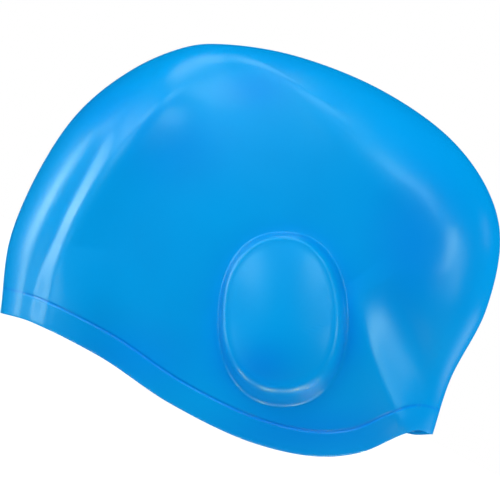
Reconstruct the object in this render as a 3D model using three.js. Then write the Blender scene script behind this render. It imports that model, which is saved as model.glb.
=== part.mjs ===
// Swim cap of soft silicone with two raised ear pockets, moulded in one shot.
// It is unworn and a little open, and it stands on its own rim: the front of the rim and its two lowest lobes.
// Millimetres, +Z up. The forehead is towards -X, the back of the head towards +X, and the rim opens downwards.
//
// The cap is drawn in its own profile plane, with u running back and v running up from the middle of the ear
// pocket. The half width w goes out to both sides of that plane. The finished shell is then tipped as it rests.
import * as THREE from "three";

const wall = 1.0;
const bandHeight = 11;
const bandExtra = 0.5;
const bandStep = 1.2;

const fullWidth = 43;
const fullReach = 92;
const rimTuck = 0.2;
const rimTuckReach = 55;

// Side profile from the forehead corner of the rim over the crown to the nape corner, with the radius of the
// rolled edge. The crown is pinched nearly flat at its top, and full in front of it and behind it.
const outlineTable = [
  { place: "forehead corner", u: -127.0, v: 2.5, roll: 24 },
  { place: "forehead", u: -121.5, v: 39.5, roll: 26 },
  { place: "upper forehead", u: -95.0, v: 89.0, roll: 42 },
  { place: "front of crown", u: -67.5, v: 112.0, roll: 34 },
  { place: "crown corner", u: -42.5, v: 122.3, roll: 12 },
  { place: "top of crown", u: -28.0, v: 123.4, roll: 8 },
  { place: "back of crown", u: 4.0, v: 118.6, roll: 16 },
  { place: "upper back", u: 44.5, v: 102.7, roll: 38 },
  { place: "back", u: 76.4, v: 80.0, roll: 46 },
  { place: "back of head", u: 93.0, v: 56.5, roll: 44 },
  { place: "fullest point", u: 98.0, v: 35.5, roll: 44 },
  { place: "under the fullest point", u: 91.6, v: 3.5, roll: 36 },
  { place: "nape hollow", u: 75.6, v: -27.5, roll: 22 },
  { place: "nape corner", u: 67.6, v: -52.3, roll: 16 },
];
const rollBlend = 2;

// Rim from the forehead corner to the nape corner. The ear pocket's side arches up a little at the nape.
const rimTable = [
  { place: "forehead corner", u: -127.0, near: 2.5, far: 2.5 },
  { place: "forehead kink", u: -113.4, near: -1.1, far: -1.1 },
  { place: "temple", u: -82.0, near: -16.5, far: -16.5 },
  { place: "before the ear", u: -50.4, near: -37.5, far: -37.5 },
  { place: "front of the lobe", u: -14.4, near: -54.8, far: -54.8 },
  { place: "lobe", u: 15.0, near: -61.3, far: -61.3 },
  { place: "back of the lobe", u: 35.0, near: -59.6, far: -59.6 },
  { place: "nape kink", u: 53.0, near: -52.0, far: -52.2 },
  { place: "nape arch", u: 60.4, near: -50.0, far: -52.9 },
  { place: "nape corner", u: 67.6, near: -52.3, far: -52.3 },
];

// Folds of the slack skin: ridges rise outwards, grooves and dents sink. Each row is a place along the fold's
// line, and each fold has its half width to the left and to the right of the line, which runs on from row to row.
// A crest of 2 is round, and one of 1 is a sharp fold.
const folds = [
  {
    fold: "front ridge",
    left: 11,
    right: 4.5,
    crest: 2,
    rows: [
      { u: -25, v: 115, rise: 0 },
      { u: -38, v: 106, rise: 0.8 },
      { u: -51, v: 97, rise: 1.3 },
      { u: -66, v: 82, rise: 1.5 },
      { u: -79, v: 65, rise: 1.7 },
      { u: -89, v: 48, rise: 2.0 },
      { u: -96, v: 32, rise: 2.0 },
      { u: -101, v: 17, rise: 1.7 },
      { u: -105, v: -5, rise: 1.4 },
    ],
  },
  {
    fold: "front groove",
    left: 3,
    right: 5,
    crest: 2,
    rows: [
      { u: -68, v: 99, rise: 0 },
      { u: -78, v: 83, rise: -1.2 },
      { u: -89, v: 62, rise: -1.4 },
      { u: -97, v: 47, rise: -1.5 },
      { u: -103, v: 34, rise: -1.5 },
      { u: -109, v: 20, rise: -1.4 },
      { u: -114, v: -5, rise: -1.3 },
    ],
  },
  {
    fold: "front swell",
    left: 12,
    right: 18,
    crest: 2,
    rows: [
      { u: -88, v: 32, rise: 0 },
      { u: -89, v: 18, rise: 2.6 },
      { u: -90, v: 6, rise: 4 },
      { u: -91, v: -8, rise: 3.6 },
    ],
  },
  {
    fold: "crown ridge",
    left: 5,
    right: 16,
    crest: 1.3,
    rows: [
      { u: -33, v: 121, rise: 0 },
      { u: -20.5, v: 119.3, rise: 1.2 },
      { u: -11.5, v: 115.3, rise: 1.6 },
      { u: -2.5, v: 110, rise: 1.4 },
      { u: 9.5, v: 102, rise: 1.2 },
      { u: 24.5, v: 91, rise: 0.6 },
      { u: 34, v: 83, rise: 0 },
    ],
  },
  {
    fold: "nape ridge",
    left: 14,
    right: 11,
    crest: 1.4,
    rows: [
      { u: 27, v: 14, rise: 0 },
      { u: 33, v: 6, rise: 2.5 },
      { u: 39.5, v: -15, rise: 5 },
      { u: 45, v: -29, rise: 5.5 },
      { u: 52, v: -45, rise: 5 },
    ],
  },
  {
    fold: "nape dent",
    left: 8,
    right: 14,
    crest: 2,
    rows: [
      { u: 43, v: 16, rise: 0 },
      { u: 50, v: 5, rise: -2.2 },
      { u: 57, v: -9, rise: -3 },
      { u: 60, v: -24, rise: -2.4 },
      { u: 60, v: -45, rise: 0 },
    ],
  },
  {
    fold: "back dent",
    left: 12,
    right: 12,
    crest: 2,
    rows: [
      { u: 50, v: 60, rise: 0 },
      { u: 56, v: 48, rise: -1.2 },
      { u: 62, v: 34, rise: -1.2 },
      { u: 66, v: 20, rise: 0 },
    ],
  },
  {
    fold: "temple dent",
    left: 10,
    right: 10,
    crest: 2,
    rows: [
      { u: -84, v: 4, rise: 0 },
      { u: -62, v: -10, rise: -1.2 },
      { u: -38, v: -26, rise: 0 },
    ],
  },
];
const farFoldShare = 0.6;
const foldSteps = 5;
const foldTurn = 4;

// Ear pocket: the foot of its flank is one oval, the shoulder a smaller one. It stands out further at the back
// and at the bottom.
const pocket = {
  halfLength: 29.2,
  halfHeight: 39.2,
  squareness: 2.25,
  height: 7.5,
  tipBack: 1.5,
  tipDown: 4,
  dome: 5,
  flankFront: 4.6,
  flankBack: 6.8,
  flankTop: 4.4,
  flankBottom: 11,
};

// The skin's grid. Spokes run from the boundary to the pocket's middle, and rings cross them: first a strip as
// deep as the rim band, then the rolled edge, the wall, the pocket's flank and its top. Each group of rings is
// given as shares of its stretch of a spoke.
const outlineSteps = 44;
const outlineCrowding = 0.2;
const rimSteps = 26;
const rimCrowding = 0.8;
const aimHeight = 42;
const aimShare = { front: 0.6, back: 0.12 };
const edgeDepth = { least: 15, most: 31, share: 0.5 };
const evenings = { edge: 6, pocket: 4 };
const stripTries = 8;
const stripRings = [0, 0.06, 0.25, 0.55, 0.87];
const edgeRings = [0, 0.33, 0.67];
const wallRings = [0, 0.2, 0.4, 0.6, 0.8];
const flankRings = [0, 0.14, 0.32, 0.52, 0.76, 1];
const plateauRings = [0.7, 0.38];

const silicone = new THREE.MeshStandardMaterial({ color: "#0a90e4", roughness: 0.34, metalness: 0 });

function smoothCurve(rows, vOf) {
  const points = rows.map((row) => new THREE.Vector3(row.u, vOf(row), 0));
  const curve = new THREE.CatmullRomCurve3(points, false, "centripetal");
  curve.arcLengthDivisions = 800;
  return curve;
}

const smoothStep = (t) => t * t * (3 - 2 * t);
const clamp01 = (t) => Math.min(Math.max(t, 0), 1);

// Points along a curve, evenly spaced at a crowding of 0 and closer together at both ends above it.
function spacedPoints(curve, steps, crowding) {
  return Array.from({ length: steps + 1 }, (_, i) => {
    const t = i / steps;
    const { x, y } = curve.getPointAt((1 - crowding) * t + crowding * smoothStep(t));
    return { u: x, v: y };
  });
}

function distanceToSegment(p, a, b) {
  const du = b.u - a.u;
  const dv = b.v - a.v;
  const along = clamp01(((p.u - a.u) * du + (p.v - a.v) * dv) / (du * du + dv * dv));
  return Math.hypot(p.u - a.u - along * du, p.v - a.v - along * dv);
}

function distanceToLine(p, line) {
  let nearest = Infinity;
  for (let i = 1; i < line.length; i++) {
    nearest = Math.min(nearest, distanceToSegment(p, line[i - 1], line[i]));
  }
  return nearest;
}

// Nearest place on a fold's line: how far off it is, on which side of the line, and the rise there.
function nearestOn(line, p) {
  let nearest = { away: Infinity, side: 0, rise: 0 };
  for (let i = 1; i < line.length; i++) {
    const a = line[i - 1];
    const b = line[i];
    const du = b.u - a.u;
    const dv = b.v - a.v;
    const along = clamp01(((p.u - a.u) * du + (p.v - a.v) * dv) / (du * du + dv * dv));
    const offU = p.u - a.u - along * du;
    const offV = p.v - a.v - along * dv;
    const away = Math.hypot(offU, offV);
    if (away < nearest.away) {
      const side = Math.sign(du * offV - dv * offU) * away;
      nearest = { away, side, rise: a.rise + along * (b.rise - a.rise) };
    }
  }
  return nearest;
}

// Carries an open line straight on past its end, so that distances near the rim's corners stay true.
const carriedLength = 150;

function beyond(end, before) {
  const scale = carriedLength / Math.hypot(end.u - before.u, end.v - before.v);
  return { u: end.u + (end.u - before.u) * scale, v: end.v + (end.v - before.v) * scale };
}

const outlineCurve = smoothCurve(outlineTable, (row) => row.v);
const outline = spacedPoints(outlineCurve, outlineSteps, outlineCrowding);
const fineSteps = 4 * outlineSteps;
const fineOutline = spacedPoints(outlineCurve, fineSteps, 0);
const carriedOutline = [
  beyond(fineOutline[0], fineOutline[1]),
  ...fineOutline,
  beyond(fineOutline.at(-1), fineOutline.at(-2)),
];

// Radius of the rolled edge at the outline's points, and anywhere else weighted towards the nearest of them.
const outlineRolls = Array.from({ length: fineSteps + 1 }, (_, i) => {
  const { x, y } = outlineCurve.getPoint(i / fineSteps);
  const place = (i / fineSteps) * (outlineTable.length - 1);
  const row = Math.min(Math.floor(place), outlineTable.length - 2);
  const roll = THREE.MathUtils.lerp(outlineTable[row].roll, outlineTable[row + 1].roll, place - row);
  return { u: x, v: y, roll };
});

function rollRadius(p) {
  let total = 0;
  let weights = 0;
  for (const spot of outlineRolls) {
    const weight = ((p.u - spot.u) ** 2 + (p.v - spot.v) ** 2 + rollBlend ** 2) ** -2;
    total += weight * spot.roll;
    weights += weight;
  }
  return total / weights;
}

// Radius of an oval about the pocket's middle, with its own reach forward, back, up and down.
function ovalRadius(angle, reach) {
  const c = Math.cos(angle);
  const s = Math.sin(angle);
  const across = Math.abs(c) / (c < 0 ? reach.front : reach.back);
  const upright = Math.abs(s) / (s < 0 ? reach.bottom : reach.top);
  const n = pocket.squareness;
  return (across ** n + upright ** n) ** (-1 / n);
}

const pocketFoot = {
  front: pocket.halfLength,
  back: pocket.halfLength,
  top: pocket.halfHeight,
  bottom: pocket.halfHeight,
};
const pocketShoulder = {
  front: pocket.halfLength - pocket.flankFront,
  back: pocket.halfLength - pocket.flankBack,
  top: pocket.halfHeight - pocket.flankTop,
  bottom: pocket.halfHeight - pocket.flankBottom,
};

// Height of the pocket over the wall. The flank leaves its foot quickly and eases into a softer shoulder.
function pocketHeight(p) {
  const radius = Math.hypot(p.u, p.v);
  const angle = Math.atan2(p.v, p.u);
  const foot = ovalRadius(angle, pocketFoot);
  const shoulder = ovalRadius(angle, pocketShoulder);
  const s = clamp01((foot - radius) / (foot - shoulder));
  const up = s * s * (6 - 8 * s + 3 * s * s);
  const inside = clamp01(1 - radius / shoulder);
  const tipped = (pocket.tipBack * p.u) / pocket.halfLength - (pocket.tipDown * p.v) / pocket.halfHeight;
  return (pocket.height + tipped) * up + pocket.dome * (1 - (1 - inside) ** 2);
}

const foldLines = folds.map(({ left, right, crest, rows }) => {
  const points = rows.map((row) => new THREE.Vector3(row.u, row.v, row.rise));
  const curve = new THREE.CatmullRomCurve3(points, false, "centripetal");
  const line = curve.getPoints(foldSteps * (rows.length - 1)).map((p) => ({ u: p.x, v: p.y, rise: p.z }));
  return { left, right, crest, line };
});

function foldHeight(p) {
  let total = 0;
  for (const { left, right, crest, line } of foldLines) {
    const { away, side, rise } = nearestOn(line, p);
    const width = right + (left - right) * smoothStep(clamp01(side / foldTurn + 0.5));
    total += rise * Math.exp(-((away / width) ** crest));
  }
  return total;
}

// Share of the rim band at a distance from the rim: 1 on the band, 0 on the wall above it.
const bandShare = (fromRim) => smoothStep(clamp01((bandHeight - fromRim) / bandStep));

function halfWidth(p, rim, foldShare) {
  const fromEdge = distanceToLine(p, carriedOutline);
  const fromRim = distanceToLine(p, rim);
  const radius = rollRadius(p);
  const roll = Math.sqrt(radius ** 2 - (radius - Math.min(fromEdge, radius)) ** 2);
  const fill = 1 - (1 - Math.min(fromEdge / fullReach, 1)) ** 2;
  const tuck = rimTuck * (1 - Math.min(fromRim / rimTuckReach, 1)) ** 2;
  const relief = foldShare * foldHeight(p) + pocketHeight(p) + bandExtra * bandShare(fromRim);
  return (roll + (fullWidth - radius) * fill) * (1 - tuck) + (roll / radius) * relief;
}

// Way in from a boundary point, chosen so that spokes leave the rim and the outline about squarely.
function wayIn(p) {
  const target = (p.u < 0 ? aimShare.front : aimShare.back) * p.u;
  return new THREE.Vector2(target - p.u, aimHeight - p.v).normalize();
}

// Draws each point of a closed row towards the middle of its two neighbours, a number of times.
function evened(points, times) {
  if (times === 0) return points;
  const count = points.length;
  const once = points.map((p, j) => {
    const before = points[(j + count - 1) % count];
    const after = points[(j + 1) % count];
    return { u: (before.u + 2 * p.u + after.u) / 4, v: (before.v + 2 * p.v + after.v) / 4 };
  });
  return evened(once, times - 1);
}

// How far to go along a spoke to be as far from the cap's boundary as the rim band is high.
function stripDepth(inBy, boundary) {
  const goal = bandHeight + bandStep / 2;
  const closed = [...boundary, boundary[0]];
  let depth = goal;
  for (let i = 0; i < stripTries; i++) {
    depth *= goal / distanceToLine(inBy(depth), closed);
  }
  return depth;
}

// Points of the profile plane, spoke by spoke from the boundary in to the middle of the pocket.
function gridOf(rim) {
  const boundary = [...outline, ...rim.slice(1, -1).reverse()];
  const count = boundary.length;
  const starts = boundary.map((p, j) => {
    const from = j === 0 ? p : boundary[(j + count - 1) % count];
    const to = j === outlineSteps ? p : boundary[(j + 1) % count];
    const along = new THREE.Vector2(to.u - from.u, to.v - from.v).normalize();
    const aim = wayIn(p).divideScalar(Math.abs(along.cross(wayIn(p))));
    const inBy = (depth) => ({ u: p.u + aim.x * depth, v: p.v + aim.y * depth });
    const toPocket = Math.hypot(p.u, p.v) - ovalRadius(Math.atan2(p.v, p.u), pocketFoot);
    const depth = THREE.MathUtils.clamp(edgeDepth.share * toPocket, edgeDepth.least, edgeDepth.most);
    return { strip: inBy(stripDepth(inBy, boundary)), edge: inBy(depth) };
  });
  const edge = evened(starts.map((start) => start.edge), evenings.edge);
  const rays = edge.map(({ u, v }) => ({ u: u / Math.hypot(u, v), v: v / Math.hypot(u, v) }));
  const angles = evened(rays, evenings.pocket).map(({ u, v }) => Math.atan2(v, u));
  const between = (a, b, t) => ({ u: a.u + (b.u - a.u) * t, v: a.v + (b.v - a.v) * t });
  const spokes = boundary.map((p, j) => {
    const onOval = (reach, share) => {
      const radius = ovalRadius(angles[j], reach) * share;
      return { u: radius * Math.cos(angles[j]), v: radius * Math.sin(angles[j]) };
    };
    const { strip } = starts[j];
    const foot = onOval(pocketFoot, 1);
    const shoulder = onOval(pocketShoulder, 1);
    return [
      ...stripRings.map((t) => between(p, strip, t)),
      ...edgeRings.map((t) => between(strip, edge[j], t)),
      ...wallRings.map((t) => between(edge[j], foot, t)),
      ...flankRings.map((t) => between(foot, shoulder, t)),
      ...plateauRings.map((t) => onOval(pocketShoulder, t)),
    ];
  });
  return { count, spokes };
}

const rimPoints = (vOf) => spacedPoints(smoothCurve(rimTable, vOf), rimSteps, rimCrowding);

// Outer skin: two side grids that share the vertices of the outline.
function outerSkin() {
  const sides = [
    { sign: -1, rim: rimPoints((row) => row.near), foldShare: 1 },
    { sign: 1, rim: rimPoints((row) => row.far), foldShare: farFoldShare },
  ];
  const vertices = outline.map((p) => ({ ...p, w: 0, thick: wall }));
  const triangles = [];
  const rimEdges = [];
  for (const vertex of vertices) {
    vertex.thick = wall + bandExtra * bandShare(distanceToLine(vertex, sides[0].rim));
  }
  for (const { sign, rim, foldShare } of sides) {
    const { count, spokes } = gridOf(rim);
    const face = (a, b, c) => triangles.push(sign < 0 ? [a, c, b] : [a, b, c]);
    const add = (p) => {
      const thick = wall + bandExtra * bandShare(distanceToLine(p, rim));
      return vertices.push({ ...p, w: sign * halfWidth(p, rim, foldShare), thick }) - 1;
    };
    const rings = spokes.map((spoke, j) => spoke.map((p, r) => (r === 0 && j <= outlineSteps ? j : add(p))));
    const middle = add({ u: 0, v: 0 });
    for (let j = 0; j < count; j++) {
      const here = rings[j];
      const next = rings[(j + 1) % count];
      for (let r = 1; r < here.length; r++) {
        face(here[r - 1], next[r - 1], next[r]);
        face(here[r - 1], next[r], here[r]);
      }
      face(here.at(-1), next.at(-1), middle);
      if (j >= outlineSteps) rimEdges.push(sign < 0 ? [here[0], next[0]] : [next[0], here[0]]);
    }
  }
  return { vertices, triangles, rimEdges };
}

// Outward unit normals of the skin's vertices, weighted by the faces around them.
function skinNormals(points, triangles) {
  const normals = points.map(() => new THREE.Vector3());
  for (const [a, b, c] of triangles) {
    const side = points[b].clone().sub(points[a]);
    const facing = side.cross(points[c].clone().sub(points[a]));
    for (const corner of [a, b, c]) normals[corner].add(facing);
  }
  return normals.map((normal) => normal.normalize());
}

// One closed shell: the outer skin, the same skin a wall's thickness further in, and the rim's lip between.
function shellGeometry() {
  const { vertices, triangles, rimEdges } = outerSkin();
  const corner = outlineTable[0];
  const rest = Math.max(...rimTable.slice(1).map((row) => Math.atan2(corner.v - row.near, row.u - corner.u)));
  const tip = new THREE.Matrix4().makeRotationY(-rest);
  const outer = vertices.map(({ u, v, w }) => new THREE.Vector3(u, w, v).applyMatrix4(tip));
  const normals = skinNormals(outer, triangles);
  const inner = outer.map((p, i) => p.clone().addScaledVector(normals[i], -vertices[i].thick));
  const shift = outer.length;
  const faces = [...triangles, ...triangles.map(([a, b, c]) => [a + shift, c + shift, b + shift])];
  for (const [a, b] of rimEdges) {
    faces.push([a, b, b + shift], [a, b + shift, a + shift]);
  }
  const geometry = new THREE.BufferGeometry().setFromPoints([...outer, ...inner]);
  geometry.setIndex(faces.flat());
  geometry.computeVertexNormals();
  geometry.computeBoundingBox();
  return geometry;
}

const capShell = new THREE.Mesh(shellGeometry(), silicone);
capShell.name = "cap_shell";
const { min, max } = capShell.geometry.boundingBox;
capShell.position.set(-(min.x + max.x) / 2, -(min.y + max.y) / 2, -min.z);

const swimCap = new THREE.Group();
swimCap.add(capShell);
export default swimCap;
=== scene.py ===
# A moulded silicone swim cap with ear pockets, unworn, standing on its own rim on a pale studio floor.
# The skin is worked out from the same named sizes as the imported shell, on a much finer grid, and adds what
# moulding leaves on it: the step over the rim band, the rounded lip and the tight fillets of the ear pockets.
import math

import bpy
import numpy as np
from mathutils import Matrix, Vector


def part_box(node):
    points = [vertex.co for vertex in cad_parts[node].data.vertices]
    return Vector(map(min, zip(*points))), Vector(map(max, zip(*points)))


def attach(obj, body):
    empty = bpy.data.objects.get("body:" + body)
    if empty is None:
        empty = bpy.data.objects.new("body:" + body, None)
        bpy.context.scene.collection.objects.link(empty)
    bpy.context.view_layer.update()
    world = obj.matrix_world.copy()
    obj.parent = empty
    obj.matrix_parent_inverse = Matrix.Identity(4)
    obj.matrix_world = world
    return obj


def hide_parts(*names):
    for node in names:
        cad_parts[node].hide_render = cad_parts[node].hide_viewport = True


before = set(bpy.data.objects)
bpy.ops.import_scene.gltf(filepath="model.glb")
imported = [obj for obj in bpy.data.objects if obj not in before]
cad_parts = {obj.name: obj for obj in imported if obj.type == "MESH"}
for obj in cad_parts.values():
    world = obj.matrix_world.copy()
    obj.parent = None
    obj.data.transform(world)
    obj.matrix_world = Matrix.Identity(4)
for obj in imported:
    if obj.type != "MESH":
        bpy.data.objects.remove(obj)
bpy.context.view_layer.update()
cap_low, cap_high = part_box("cap_shell")

MM = 0.001

# Sizes in millimetres. The profile plane has u running back and v up from the middle of the ear pocket,
# and the half width w goes out to both sides of it.
WALL = 1.0
LEAST_WALL = 0.02
BAND_HEIGHT = 11.0
BAND_EXTRA = 0.5
BAND_STEP = 0.7
LIP_RADIUS = 0.75

# The fine groove over the band: how far it runs from the rim, its half width and its depth. A line of painted
# shade, a deeper blue, runs in it: full up to HEM_SHADE_FULL from its middle and gone at HEM_SHADE_GONE, and
# at its middle a share of the unshaded blue is kept.
HEM_LINE = 11.4
HEM_LINE_WIDTH = 0.4
HEM_LINE_DEPTH = 0.22
HEM_SHADE_FULL = 0.2
HEM_SHADE_GONE = 0.9
HEM_UNSHADED_SHARE = 0.6

# Half width that the skin works up to, how far in from the edge it gets there, and the share of it that the
# skin loses towards the rim, over what reach.
FULL_WIDTH = 43.0
FULL_REACH = 92.0
RIM_TUCK = 0.2
RIM_TUCK_REACH = 55.0

# Side profile from the forehead corner of the rim over the crown to the nape corner: u, v, radius of the
# rolled edge there. The crown is pinched nearly flat at its top and full in front of and behind it. The blend
# is how softly the radius passes from one row to the next.
OUTLINE = [
    (-127.0, 2.5, 24), (-121.5, 39.5, 26), (-95.0, 89.0, 42), (-67.5, 112.0, 34), (-42.5, 122.3, 12),
    (-28.0, 123.4, 8), (4.0, 118.6, 16), (44.5, 102.7, 38), (76.4, 80.0, 46), (93.0, 56.5, 44),
    (98.0, 35.5, 44), (91.6, 3.5, 36), (75.6, -27.5, 22), (67.6, -52.3, 16),
]
ROLL_BLEND = 2.0

# Rim from the forehead corner to the nape corner: u, v on the near side, v on the far side.
RIM = [
    (-127.0, 2.5, 2.5), (-113.4, -1.1, -1.1), (-82.0, -16.5, -16.5), (-50.4, -37.5, -37.5),
    (-14.4, -54.8, -54.8), (15.0, -61.3, -61.3), (35.0, -59.6, -59.6), (53.0, -52.0, -52.2),
    (60.4, -50.0, -52.9), (67.6, -52.3, -52.3),
]

# Folds of the slack skin. Each has its half width left and right of its line, its crest (2 is round, 1 is a
# sharp fold), and rows of u, v and rise along the line. Ridges rise outwards, grooves and dents sink. The
# width passes from left to right over the crossing, and the far side has the same folds, shallower.
FOLDS = {
    "front ridge": (11, 4.5, 2, [
        (-25, 115, 0), (-38, 106, 0.8), (-51, 97, 1.3), (-66, 82, 1.5), (-79, 65, 1.7), (-89, 48, 2.0),
        (-96, 32, 2.0), (-101, 17, 1.7), (-105, -5, 1.4),
    ]),
    "front groove": (3, 5, 2, [
        (-68, 99, 0), (-78, 83, -1.2), (-89, 62, -1.4), (-97, 47, -1.5), (-103, 34, -1.5), (-109, 20, -1.4),
        (-114, -5, -1.3),
    ]),
    "front swell": (12, 18, 2, [(-88, 32, 0), (-89, 18, 2.6), (-90, 6, 4), (-91, -8, 3.6)]),
    "crown ridge": (5, 16, 1.3, [
        (-33, 121, 0), (-20.5, 119.3, 1.2), (-11.5, 115.3, 1.6), (-2.5, 110, 1.4), (9.5, 102, 1.2),
        (24.5, 91, 0.6), (34, 83, 0),
    ]),
    "nape ridge": (14, 11, 1.4, [(27, 14, 0), (33, 6, 2.5), (39.5, -15, 5), (45, -29, 5.5), (52, -45, 5)]),
    "nape dent": (8, 14, 2, [(43, 16, 0), (50, 5, -2.2), (57, -9, -3), (60, -24, -2.4), (60, -45, 0)]),
    "back dent": (12, 12, 2, [(50, 60, 0), (56, 48, -1.2), (62, 34, -1.2), (66, 20, 0)]),
    "temple dent": (10, 10, 2, [(-84, 4, 0), (-62, -10, -1.2), (-38, -26, 0)]),
}
FOLD_CROSSING = 4.0
FAR_FOLD_SHARE = 0.6

# Soft patches of painted shade, a deeper blue on the skin: u, v, reach along u, reach along v and share of
# the deeper blue at the middle.
SHADE_PATCHES = {
    "behind the front ridge": (-47, 75, 24, 17, 0.25),
    "under the crown ridge": (-12, 103, 15, 9, 0.3),
    "back of the head": (58, 33, 20, 31, 0.4),
    "lower temple": (-69, -17, 30, 15, 0.35),
    "lower plateau": (-9, -21, 15, 11, 0.5),
    "lobe": (12, -50, 40, 12, 0.45),
    "upper forehead": (-78, 94, 24, 15, 0.2),
}

# Ear pocket: reach of the flank's foot and of its shoulder from the middle, forward, back, up and down. It
# stands out further at the back and at the bottom. A squareness of 2 would make a true oval.
POCKET_FOOT = (29.2, 29.2, 39.2, 39.2)
POCKET_SHOULDER = (24.6, 22.4, 34.8, 28.2)
POCKET_SQUARENESS = 2.25
POCKET_HEIGHT = 7.5
POCKET_TIP_BACK = 1.5
POCKET_TIP_DOWN = 4.0
POCKET_DOME = 5.0

# Steps in each span of a smooth curve and of a fold's line. Distances are measured to every second point of a
# curve, and the rolled edge's radius comes from every fourth.
CURVE_STEPS = 24
FOLD_STEPS = 6
DISTANCE_STRIDE = 2
ROLL_STRIDE = 4

# The grid: spokes run from the boundary to the pocket's middle, and rings cross them. First comes a strip as
# deep as the rim band, with close rings over its hem, then the rolled edge, the wall, the pocket's flank and
# its top. Each spoke sets out towards a point at AIM_HEIGHT, with a share of its own u.
OUTLINE_STEPS = 165
OUTLINE_CROWDING = 0.2
RIM_STEPS = 100
RIM_CROWDING = 0.8
AIM_HEIGHT = 42.0
AIM_SHARE_FRONT = 0.6
AIM_SHARE_BACK = 0.12
EDGE_DEPTH_LEAST = 15.0
EDGE_DEPTH_MOST = 31.0
EDGE_DEPTH_SHARE = 0.5
EDGE_EVENINGS = 84
POCKET_EVENINGS = 56
STRIP_TRIES = 8
STRIP_RINGS = 16
HEM_FROM = 10.1
HEM_TO = 12.4
HEM_RINGS = 13
EDGE_RINGS = 14
WALL_RINGS = 17
FLANK_RINGS = 20
PLATEAU_RINGS = 12

# Patterns in the silicone: soft clouds in its blue, the grain that the blasted mould leaves, and how far
# round a point ambient occlusion looks for creases to paint shade into. The real grain is about a tenth of a
# millimetre and too fine to show, so it is drawn about as coarse as a pixel of the picture.
CLOUD_SIZE = 45.0
GRAIN_SIZE = 0.6
GRAIN_DEPTH = 0.2
CREASE_SHADE_REACH = 15.0

# The photograph's frame: 0.45 mm a pixel, 500 pixels square, its middle this far from the pocket's middle.
VIEW_MIDDLE = (-14.6, 30.7)
VIEW_WIDTH = 225.0
SENSOR_WIDTH = 36.0

# The studio, in metres.
CAMERA_DISTANCE = 3.0
FLOOR_REACH = 3.0
TENT_REACH = 4.0
GLOSS_DISTANCE = 1.4

# Even light: name, direction in the picture as right, up and to the eye, and radiance.
TENT_WALLS = [
    ("tent_front", (-0.15, 0.5, 1), 1.9),
    ("tent_top", (0, 1, -0.6), 0.6),
    ("tent_bottom", (0, -1, -0.5), 1.8),
    ("tent_left", (-1, 0, -0.6), 1.2),
    ("tent_right", (1, 0, -0.6), 2.2),
]

# Lights that show in the gloss: name, degrees round the picture from its right, degrees off the line of
# sight, size round the picture and along the way out from the line of sight in metres, radiance.
GLOSS_LIGHTS = [
    ("front_low", -176, 93, (0.35, 0.35), 7.5),
    ("front_swell", -172, 58, (0.35, 0.5), 5),
    ("front", 167, 95, (0.4, 0.4), 9.5),
    ("front_high", 156, 91, (0.3, 0.35), 12),
    ("forehead", 146, 83, (0.3, 0.3), 9.5),
    ("brow", 129, 70, (0.3, 0.3), 8),
    ("upper_front", 114, 64, (0.35, 0.35), 7.5),
    ("top", 75, 50, (0.8, 0.5), 0.5),
    ("crown", 88, 94, (0.35, 0.4), 6),
    ("crown_back", 82, 67, (0.5, 0.4), 5.5),
    ("pocket_upper_left", 134, 42, (0.35, 0.35), 7),
    ("pocket_upper_right", 45, 40, (0.6, 0.3), 7),
    ("nape_high", -4, 54, (0.4, 0.4), 9.5),
    ("nape", -16, 71, (0.35, 0.3), 4.2),
    ("nape_edge", -33, 126, (0.35, 0.35), 1.3),
    ("back", 5, 112, (0.4, 0.3), 0.8),
]

# Lights under the pocket, in the same columns. They show only in what they shine on straight, because a
# second reflection of them would grey the pocket's flank.
UNDER_LIGHTS = [
    ("under_front", -135, 84, (0.2, 0.2), 36),
    ("under", -104, 81, (0.2, 0.2), 52),
    ("under_back", -76, 82, (0.2, 0.2), 66),
    ("under_far_back", -60, 104, (0.2, 0.2), 44),
]


def linear(hex_colour):
    """An sRGB hex colour as linear RGBA."""
    values = [int(hex_colour[i:i + 2], 16) / 255 for i in (1, 3, 5)]
    return [c / 12.92 if c <= 0.04045 else ((c + 0.055) / 1.055) ** 2.4 for c in values] + [1.0]


def smooth_step(t):
    """Runs from 0 to 1 as t does, and leaves and arrives level."""
    t = np.clip(t, 0, 1)
    return t * t * (3 - 2 * t)


def smooth_curve(points, steps):
    """A centripetal Catmull-Rom curve through the points, with this many steps to each span."""
    p = np.asarray(points, float)
    p = np.vstack([2 * p[0] - p[1], p, 2 * p[-1] - p[-2]])
    knots = np.sqrt(np.linalg.norm(np.diff(p, axis=0), axis=1))
    t = np.linspace(0, 1, steps, endpoint=False)[:, None]
    spans = []
    for i in range(1, len(p) - 2):
        before, here, after = knots[i - 1], knots[i], knots[i + 1]
        chord = (p[i + 1] - p[i]) / here
        leave = ((p[i] - p[i - 1]) / before - (p[i + 1] - p[i - 1]) / (before + here) + chord) * here
        arrive = (chord - (p[i + 2] - p[i]) / (here + after) + (p[i + 2] - p[i + 1]) / after) * here
        spans.append(
            (2 * t**3 - 3 * t**2 + 1) * p[i] + (t**3 - 2 * t**2 + t) * leave
            + (3 * t**2 - 2 * t**3) * p[i + 1] + (t**3 - t**2) * arrive
        )
    return np.vstack(spans + [p[-2:-1]])


def spaced(curve, count, crowding):
    """Points along a curve, evenly spaced at a crowding of 0 and closer together at both ends above it."""
    length = np.concatenate([[0], np.cumsum(np.linalg.norm(np.diff(curve, axis=0), axis=1))])
    t = np.linspace(0, 1, count + 1)
    t = (1 - crowding) * t + crowding * smooth_step(t)
    return np.stack([np.interp(t * length[-1], length, curve[:, k]) for k in range(2)], axis=1)


def distance_to_line(p, line):
    """Distance from each point to an open polyline."""
    nearest = np.full(len(p), np.inf)
    for a, b in zip(line[:-1], line[1:]):
        d = b - a
        along = np.clip(((p - a) @ d) / (d @ d), 0, 1)
        nearest = np.minimum(nearest, np.linalg.norm(p - a - along[:, None] * d, axis=1))
    return nearest


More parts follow.
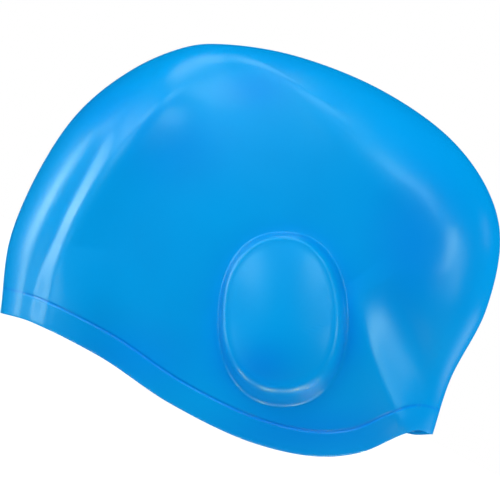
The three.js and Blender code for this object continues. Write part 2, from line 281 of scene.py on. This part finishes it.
def carried_on(line, length=150.0):
    """The line with a straight run past each end, so that distances near the rim's corners stay true."""
    first = line[0] + (line[0] - line[1]) / np.linalg.norm(line[0] - line[1]) * length
    last = line[-1] + (line[-1] - line[-2]) / np.linalg.norm(line[-1] - line[-2]) * length
    return np.vstack([first, line, last])


outline_curve = smooth_curve([row[:2] for row in OUTLINE], CURVE_STEPS)
carried_outline = carried_on(outline_curve[::DISTANCE_STRIDE])
outline_rolls = np.interp(
    np.arange(len(outline_curve)) / CURVE_STEPS, range(len(OUTLINE)), [row[2] for row in OUTLINE]
)
fold_lines = [
    (left, right, crest, smooth_curve(rows, FOLD_STEPS)) for left, right, crest, rows in FOLDS.values()
]


def roll_radius(p):
    """Radius of the rolled edge, taken from the outline's rows and weighted towards the nearest ones."""
    total = np.zeros(len(p))
    weights = np.zeros(len(p))
    for spot, roll in zip(outline_curve[::ROLL_STRIDE], outline_rolls[::ROLL_STRIDE]):
        weight = (((p - spot) ** 2).sum(axis=1) + ROLL_BLEND**2) ** -2
        total += weight * roll
        weights += weight
    return total / weights


def oval_radius(angle, reach):
    """Distance from the pocket's middle to an oval with these four reaches, at an angle."""
    front, back, top, bottom = reach
    c, s = np.cos(angle), np.sin(angle)
    across = np.abs(c) / np.where(c < 0, front, back)
    upright = np.abs(s) / np.where(s < 0, bottom, top)
    return (across**POCKET_SQUARENESS + upright**POCKET_SQUARENESS) ** (-1 / POCKET_SQUARENESS)


def pocket_height(p):
    """How far the ear pocket stands out: a flank up to its shoulder, and a shallow dome inside it."""
    radius = np.hypot(p[:, 0], p[:, 1])
    angle = np.arctan2(p[:, 1], p[:, 0])
    foot = oval_radius(angle, POCKET_FOOT)
    shoulder = oval_radius(angle, POCKET_SHOULDER)
    s = np.clip((foot - radius) / (foot - shoulder), 0, 1)
    up = s * s * (6 - 8 * s + 3 * s * s)
    inside = np.clip(1 - radius / shoulder, 0, 1)
    tipped = POCKET_TIP_BACK * p[:, 0] / POCKET_FOOT[1] - POCKET_TIP_DOWN * p[:, 1] / POCKET_FOOT[2]
    return (POCKET_HEIGHT + tipped) * up + POCKET_DOME * (1 - (1 - inside) ** 2)


def fold_height(p):
    """How far all the folds together stand out, or sink, at each point."""
    total = np.zeros(len(p))
    for left, right, crest, line in fold_lines:
        nearest = np.full(len(p), np.inf)
        side = np.zeros(len(p))
        rise = np.zeros(len(p))
        for a, b in zip(line[:-1], line[1:]):
            run = b[:2] - a[:2]
            along = np.clip(((p - a[:2]) @ run) / (run @ run), 0, 1)
            off = p - a[:2] - along[:, None] * run
            away = np.hypot(off[:, 0], off[:, 1])
            closer = away < nearest
            nearest = np.where(closer, away, nearest)
            side = np.where(closer, np.sign(run[0] * off[:, 1] - run[1] * off[:, 0]) * away, side)
            rise = np.where(closer, a[2] + along * (b[2] - a[2]), rise)
        width = right + (left - right) * smooth_step(0.5 + side / FOLD_CROSSING)
        total += rise * np.exp(-((nearest / width) ** crest))
    return total


def band_share(from_rim):
    """1 in the rim band and 0 past its hem."""
    return smooth_step((BAND_HEIGHT - from_rim) / BAND_STEP)


def lip_share(from_rim):
    """Half thickness of the rounded lip, as a share of the full one."""
    return np.sqrt(np.clip(1 - (1 - np.minimum(from_rim / LIP_RADIUS, 1)) ** 2, 0, 1))


def skin(p, rim, fold_share):
    """Half width of the outer skin and thickness of the wall at points of the profile plane."""
    from_edge = distance_to_line(p, carried_outline)
    from_rim = distance_to_line(p, rim)
    radius = roll_radius(p)
    roll = np.sqrt(radius**2 - (radius - np.minimum(from_edge, radius)) ** 2)
    fill = 1 - (1 - np.minimum(from_edge / FULL_REACH, 1)) ** 2
    tuck = RIM_TUCK * (1 - np.minimum(from_rim / RIM_TUCK_REACH, 1)) ** 2
    relief = fold_share * fold_height(p) + pocket_height(p) + BAND_EXTRA * band_share(from_rim)
    relief -= HEM_LINE_DEPTH * np.exp(-(((from_rim - HEM_LINE) / HEM_LINE_WIDTH) ** 2))
    lip = LIP_RADIUS * (1 - lip_share(from_rim))
    width = (roll + (FULL_WIDTH - radius) * fill) * (1 - tuck) + roll / radius * (relief - lip)
    thick = WALL + BAND_EXTRA * band_share(from_rim)
    return width, np.maximum(thick * lip_share(from_rim), LEAST_WALL)


def shade_patch_share(p):
    """Share of painted shade, a deeper blue, that the soft patches give each point of the profile plane."""
    unshaded = np.ones(len(p))
    for u, v, along, upright, share in SHADE_PATCHES.values():
        unshaded *= 1 - share * np.exp(-(((p[:, 0] - u) / along) ** 2) - ((p[:, 1] - v) / upright) ** 2)
    return 1 - unshaded


def evened(points, times):
    """A closed row of points, each drawn towards the middle of its two neighbours a number of times."""
    for _ in range(times):
        points = (np.roll(points, 1, axis=0) + 2 * points + np.roll(points, -1, axis=0)) / 4
    return points


def grid_points(rim_line):
    """Points of the profile plane, ring by ring from the boundary to the pocket's middle."""
    outline = spaced(outline_curve, OUTLINE_STEPS, OUTLINE_CROWDING)
    rim = spaced(rim_line, RIM_STEPS, RIM_CROWDING)
    boundary = np.vstack([outline, rim[-2:0:-1]])
    u, v = boundary.T
    aimed_u = np.where(u < 0, AIM_SHARE_FRONT, AIM_SHARE_BACK) * u
    aim = np.stack([aimed_u, np.full(len(u), AIM_HEIGHT)], axis=1) - boundary
    along = np.roll(boundary, -1, axis=0) - np.roll(boundary, 1, axis=0)
    along[0] = boundary[1] - boundary[0]
    along[OUTLINE_STEPS] = boundary[OUTLINE_STEPS] - boundary[OUTLINE_STEPS - 1]
    along /= np.linalg.norm(along, axis=1)[:, None]
    aim /= np.abs(along[:, 0] * aim[:, 1] - along[:, 1] * aim[:, 0])[:, None]
    to_pocket = np.hypot(u, v) - oval_radius(np.arctan2(v, u), POCKET_FOOT)
    depth = np.clip(EDGE_DEPTH_SHARE * to_pocket, EDGE_DEPTH_LEAST, EDGE_DEPTH_MOST)
    around = np.vstack([outline_curve, rim_line[-2::-1]])
    strip = boundary + aim * HEM_TO
    for _ in range(STRIP_TRIES):
        strip = boundary + (strip - boundary) * (HEM_TO / distance_to_line(strip, around))[:, None]
    hem = boundary + (strip - boundary) * HEM_FROM / HEM_TO
    edge = evened(boundary + aim * depth[:, None], EDGE_EVENINGS)
    ray = evened(edge / np.linalg.norm(edge, axis=1)[:, None], POCKET_EVENINGS)
    ray /= np.linalg.norm(ray, axis=1)[:, None]
    angle = np.arctan2(ray[:, 1], ray[:, 0])
    foot = ray * oval_radius(angle, POCKET_FOOT)[:, None]
    shoulder = ray * oval_radius(angle, POCKET_SHOULDER)[:, None]
    middle = np.zeros_like(shoulder)
    rings = [
        start + (end - start) * t
        for start, end, count, easing in (
            (boundary, hem, STRIP_RINGS, smooth_step),
            (hem, strip, HEM_RINGS, np.asarray),
            (strip, edge, EDGE_RINGS, np.asarray),
            (edge, foot, WALL_RINGS, np.asarray),
            (foot, shoulder, FLANK_RINGS, np.asarray),
            (shoulder, middle, PLATEAU_RINGS, np.asarray),
        )
        for t in easing(np.linspace(0, 1, count, endpoint=False))
    ]
    return np.stack(rings)


def resting_tip():
    """Angle that brings the front corner of the rim and the lobe onto the floor together."""
    u, v, _ = OUTLINE[0]
    return max(math.atan2(v - row[1], row[0] - u) for row in RIM[1:])


def cap_mesh():
    """Outer skin of both sides, the inner skin a wall's thickness in, and the lip between them."""
    points, faces, lips, thickness, rim_distance = [], [], [], [], []
    outline_count = OUTLINE_STEPS + 1
    start = outline_count
    for sign, column, fold_share in ((-1, 1, 1.0), (1, 2, FAR_FOLD_SHARE)):
        rim_line = smooth_curve([(row[0], row[column]) for row in RIM], CURVE_STEPS)
        rings = grid_points(rim_line)
        ring_count, count = rings.shape[:2]
        flat = np.vstack([rings.reshape(-1, 2), [[0.0, 0.0]]])
        coarse_rim = rim_line[::DISTANCE_STRIDE]
        width, thick = skin(flat, coarse_rim, fold_share)
        from_rim = distance_to_line(flat, coarse_rim)
        index = np.arange(ring_count * count).reshape(ring_count, count)
        names = np.empty(ring_count * count + 1, int)
        own = np.ones(len(names), bool)
        own[:outline_count] = False
        names[:outline_count] = np.arange(outline_count)
        names[own] = start + np.arange(own.sum())
        if sign < 0:
            points.append(np.column_stack([flat[:outline_count], np.zeros(outline_count)]))
            thickness.append(thick[:outline_count])
            rim_distance.append(from_rim[:outline_count])
        points.append(np.column_stack([flat[own], sign * width[own]]))
        thickness.append(thick[own])
        rim_distance.append(from_rim[own])
        start += own.sum()
        here, following = index, np.roll(index, -1, axis=1)
        quads = np.stack([here[:-1], here[1:], following[1:], following[:-1]], axis=-1).reshape(-1, 4)
        middle = np.full(count, len(names) - 1)
        tips = np.stack([here[-1], middle, following[-1]], axis=-1)
        lip = np.stack([here[0, OUTLINE_STEPS:], following[0, OUTLINE_STEPS:]], axis=-1)
        for block, rows in ((quads, faces), (tips, faces), (lip, lips)):
            named = names[block]
            rows += (named if sign < 0 else named[:, ::-1]).tolist()
    return np.vstack(points), np.concatenate(thickness), np.concatenate(rim_distance), faces, lips


def build_cap():
    """The cap as one closed mesh at rest, its move from the profile plane's middle, and its tip angle."""
    uvw, thick, from_rim, faces, lips = cap_mesh()
    tip = resting_tip()
    c, s = math.cos(tip), math.sin(tip)
    outer = np.column_stack([uvw[:, 0] * c - uvw[:, 1] * s, uvw[:, 2], uvw[:, 0] * s + uvw[:, 1] * c])
    skin_mesh = bpy.data.meshes.new("outer_skin")
    skin_mesh.from_pydata(outer.tolist(), [], faces)
    skin_mesh.update()
    normals = np.empty(len(outer) * 3)
    skin_mesh.vertices.foreach_get("normal", normals)
    bpy.data.meshes.remove(skin_mesh)
    inner = outer - normals.reshape(-1, 3) * thick[:, None]
    shift = len(outer)
    inside = [[i + shift for i in reversed(face)] for face in faces]
    lip = [[a, b, b + shift, a + shift] for a, b in lips]
    both = np.vstack([outer, inner])
    middle = (both.min(axis=0) + both.max(axis=0)) / 2
    place = np.array([-middle[0], -middle[1], -both[:, 2].min()])
    mesh = bpy.data.meshes.new("cap")
    mesh.from_pydata(((both + place) * MM).tolist(), [], faces + inside + lip)
    mesh.shade_smooth()
    # Stores the share of painted shade from the soft patches, and each point's distance from the rim for the
    # hem's line of painted shade.
    for name, values in (("painted_patch_shade", shade_patch_share(uvw[:, :2])), ("from_rim", from_rim)):
        mesh.attributes.new(name, "FLOAT", "POINT").data.foreach_set("value", np.tile(values, 2))
    mesh.validate()
    mesh.update()
    cap = bpy.data.objects.new("cap", mesh)
    bpy.context.collection.objects.link(cap)
    return cap, place, tip


def add_node(tree, kind, settings=None, wires=None):
    """Adds a node with its settings, and wires sockets to its inputs. An input goes by its name or number."""
    node = tree.nodes.new(kind)
    for name, value in (settings or {}).items():
        if isinstance(name, int) or name in node.inputs:
            node.inputs[name].default_value = value
        else:
            setattr(node, name, value)
    for name, socket in (wires or {}).items():
        tree.links.new(socket, node.inputs[name])
    return node


def satin_silicone():
    """Liquid silicone rubber, pigmented right through and moulded against polished, lightly blasted steel."""
    material = bpy.data.materials.new("satin_silicone")
    material.use_nodes = True
    tree = material.node_tree
    tree.nodes.clear()

    # The pigment gives one even blue with faint clouds in it.
    place = add_node(tree, "ShaderNodeTexCoord")
    cloud = add_node(
        tree, "ShaderNodeTexNoise",
        {"Scale": 1 / (CLOUD_SIZE * MM), "Detail": 2.0, "Roughness": 0.45},
        {"Vector": place.outputs["Object"]},
    )
    light_blue = add_node(tree, "ShaderNodeValToRGB", wires={"Fac": cloud.outputs["Fac"]})
    darker, lighter = light_blue.color_ramp.elements
    darker.position = 0.35
    darker.color = linear("#0095DF")
    lighter.position = 0.68
    lighter.color = linear("#009AE4")

    # Painted shade: a deeper blue, #0074DE, is mixed in where ambient occlusion finds creases and hollows, in
    # the soft shade patches and along the hem groove.
    crease_shade_ao = add_node(tree, "ShaderNodeAmbientOcclusion", {"samples": 8, "Distance": CREASE_SHADE_REACH * MM})
    crease_unshaded = add_node(
        tree, "ShaderNodeMapRange", {"From Min": 0.52, "From Max": 0.96}, {"Value": crease_shade_ao.outputs["AO"]}
    )
    # The soft patches' painted shade.
    patch_shade = add_node(tree, "ShaderNodeAttribute", {"attribute_name": "painted_patch_shade"})
    unshaded = add_node(
        tree, "ShaderNodeMath", {"operation": "SUBTRACT", "use_clamp": True, 0: 1.0}, {1: patch_shade.outputs["Fac"]}
    )
    # A line of painted shade along the hem groove, deepest at its middle.
    from_rim = add_node(tree, "ShaderNodeAttribute", {"attribute_name": "from_rim"})
    past_line = add_node(
        tree, "ShaderNodeMath", {"operation": "SUBTRACT", 1: HEM_LINE}, {0: from_rim.outputs["Fac"]}
    )
    off_line = add_node(tree, "ShaderNodeMath", {"operation": "ABSOLUTE"}, {0: past_line.outputs[0]})
    hem_unshaded = add_node(
        tree, "ShaderNodeMapRange",
        {"From Min": HEM_SHADE_FULL, "From Max": HEM_SHADE_GONE, "To Min": HEM_UNSHADED_SHARE},
        {"Value": off_line.outputs[0]},
    )
    crease_and_patch_unshaded = add_node(
        tree, "ShaderNodeMath", {"operation": "MULTIPLY"},
        {0: crease_unshaded.outputs["Result"], 1: unshaded.outputs[0]},
    )
    unshaded_share = add_node(
        tree, "ShaderNodeMath", {"operation": "MULTIPLY"},
        {0: crease_and_patch_unshaded.outputs[0], 1: hem_unshaded.outputs["Result"]},
    )
    # Mixes the deeper blue of all the painted shade into the clouded blue.
    blue = add_node(
        tree, "ShaderNodeMix", {"data_type": "RGBA", 6: linear("#0074DE")},
        {"Factor": unshaded_share.outputs[0], 7: light_blue.outputs["Color"]},
    )

    # The blasted steel leaves a fine, shallow grain, which spreads a highlight into a soft satin streak.
    grain = add_node(
        tree, "ShaderNodeTexNoise", {"Scale": 1 / (GRAIN_SIZE * MM), "Detail": 2.0},
        {"Vector": place.outputs["Object"]},
    )
    bump = add_node(
        tree, "ShaderNodeBump", {"Strength": 0.06, "Distance": GRAIN_DEPTH * MM},
        {"Height": grain.outputs["Fac"]},
    )
    shader = add_node(
        tree, "ShaderNodeBsdfPrincipled",
        {"Roughness": 0.3, "IOR": 1.41, "Specular Tint": linear("#E4FF93")},
        {"Base Color": blue.outputs[2], "Normal": bump.outputs["Normal"]},
    )
    add_node(tree, "ShaderNodeOutputMaterial", wires={"Surface": shader.outputs["BSDF"]})
    return material


def plain_floor():
    """A wide pale floor that the cap stands on, lit from within so that it stays white round the cap."""
    mesh = bpy.data.meshes.new("floor")
    r = FLOOR_REACH
    mesh.from_pydata([(-r, -r, 0), (r, -r, 0), (r, r, 0), (-r, r, 0)], [], [(0, 1, 2, 3)])
    floor = bpy.data.objects.new("floor", mesh)
    bpy.context.collection.objects.link(floor)
    material = bpy.data.materials.new("pale_floor")
    material.use_nodes = True
    shader = material.node_tree.nodes["Principled BSDF"]
    shader.inputs["Base Color"].default_value = linear("#606060")
    shader.inputs["Roughness"].default_value = 0.9
    shader.inputs["Specular IOR Level"].default_value = 0.0
    shader.inputs["Emission Color"].default_value = (1, 1, 1, 1)
    shader.inputs["Emission Strength"].default_value = 1.0
    mesh.materials.append(material)
    floor.visible_glossy = False
    floor.visible_diffuse = False
    floor.visible_shadow = False


def area_light(name, direction, distance, size, radiance):
    """A soft light that faces the cap's middle from a direction of the picture: right, up, to the eye."""
    target = (Vector(cap_low) + Vector(cap_high)) / 2
    right, up, to_eye = direction
    c, s = math.cos(cap_tip), math.sin(cap_tip)
    away = Vector((right * c - up * s, -to_eye, right * s + up * c)).normalized()
    round_picture = Vector((0, -1, 0)).cross(away).normalized()
    turn = Matrix((round_picture, away.cross(round_picture), away)).transposed()
    data = bpy.data.lights.new(name, "AREA")
    data.shape = "RECTANGLE"
    data.size, data.size_y = size
    data.energy = radiance * math.pi * size[0] * size[1]
    light = bpy.data.objects.new(name, data)
    light.location = target + away * distance
    light.rotation_euler = turn.to_euler()
    light.visible_camera = False
    bpy.context.collection.objects.link(light)
    return light


def light_tent():
    """Wide lights in front of the cap and behind its sides. They don't show in its gloss, as when a
    photographer keeps the reflection of a white tent off rubber."""
    side = 2 * TENT_REACH
    for name, direction, radiance in TENT_WALLS:
        wall = area_light(name, direction, TENT_REACH, (side, side), radiance)
        wall.visible_glossy = False
        wall.data.cycles.use_multiple_importance_sampling = False


def gloss_light(name, around, off_axis, size, radiance):
    """A small soft box that shows only in the gloss."""
    around, off_axis = math.radians(around), math.radians(off_axis)
    out = math.sin(off_axis)
    direction = (out * math.cos(around), out * math.sin(around), math.cos(off_axis))
    light = area_light(name, direction, GLOSS_DISTANCE, size, radiance)
    light.visible_diffuse = False
    return light


def gloss_lights():
    for row in GLOSS_LIGHTS:
        gloss_light(*row)
    for row in UNDER_LIGHTS:
        light = gloss_light(*row)
        light.data.cycles.max_bounces = 0
        light.data.cycles.use_multiple_importance_sampling = False


def white_world():
    """White behind the cap to the eye, and dark to everything else."""
    world = bpy.data.worlds.new("studio")
    world.use_nodes = True
    tree = world.node_tree
    tree.nodes.clear()
    path = add_node(tree, "ShaderNodeLightPath")
    white = add_node(
        tree, "ShaderNodeBackground", {"Color": (1, 1, 1, 1)}, {"Strength": path.outputs["Is Camera Ray"]}
    )
    add_node(tree, "ShaderNodeOutputWorld", wires={"Surface": white.outputs["Background"]})
    bpy.context.scene.world = world


def studio():
    white_world()
    light_tent()
    gloss_lights()
    bpy.context.scene.view_settings.view_transform = "Standard"


def photo_camera(place, tip):
    """A long lens that looks along +Y, turned so that the resting cap lies in the frame as photographed."""
    c, s = math.cos(tip), math.sin(tip)
    u, v = VIEW_MIDDLE
    data = bpy.data.cameras.new("camera")
    data.sensor_width = SENSOR_WIDTH
    data.lens = SENSOR_WIDTH * CAMERA_DISTANCE / (VIEW_WIDTH * MM)
    data.clip_end = 100.0
    camera = bpy.data.objects.new("camera", data)
    right, up, back = Vector((c, 0, s)), Vector((-s, 0, c)), Vector((0, -1, 0))
    turn = Matrix((right, up, back)).transposed().to_4x4()
    spot = Vector(((u * c - v * s + place[0]) * MM, -CAMERA_DISTANCE, (u * s + v * c + place[2]) * MM))
    camera.matrix_world = Matrix.Translation(spot) @ turn
    bpy.context.collection.objects.link(camera)
    bpy.context.scene.camera = camera


cap, cap_place, cap_tip = build_cap()
cap.data.materials.append(satin_silicone())
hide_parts("cap_shell")
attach(cap, "root")
plain_floor()
studio()
photo_camera(cap_place, cap_tip)
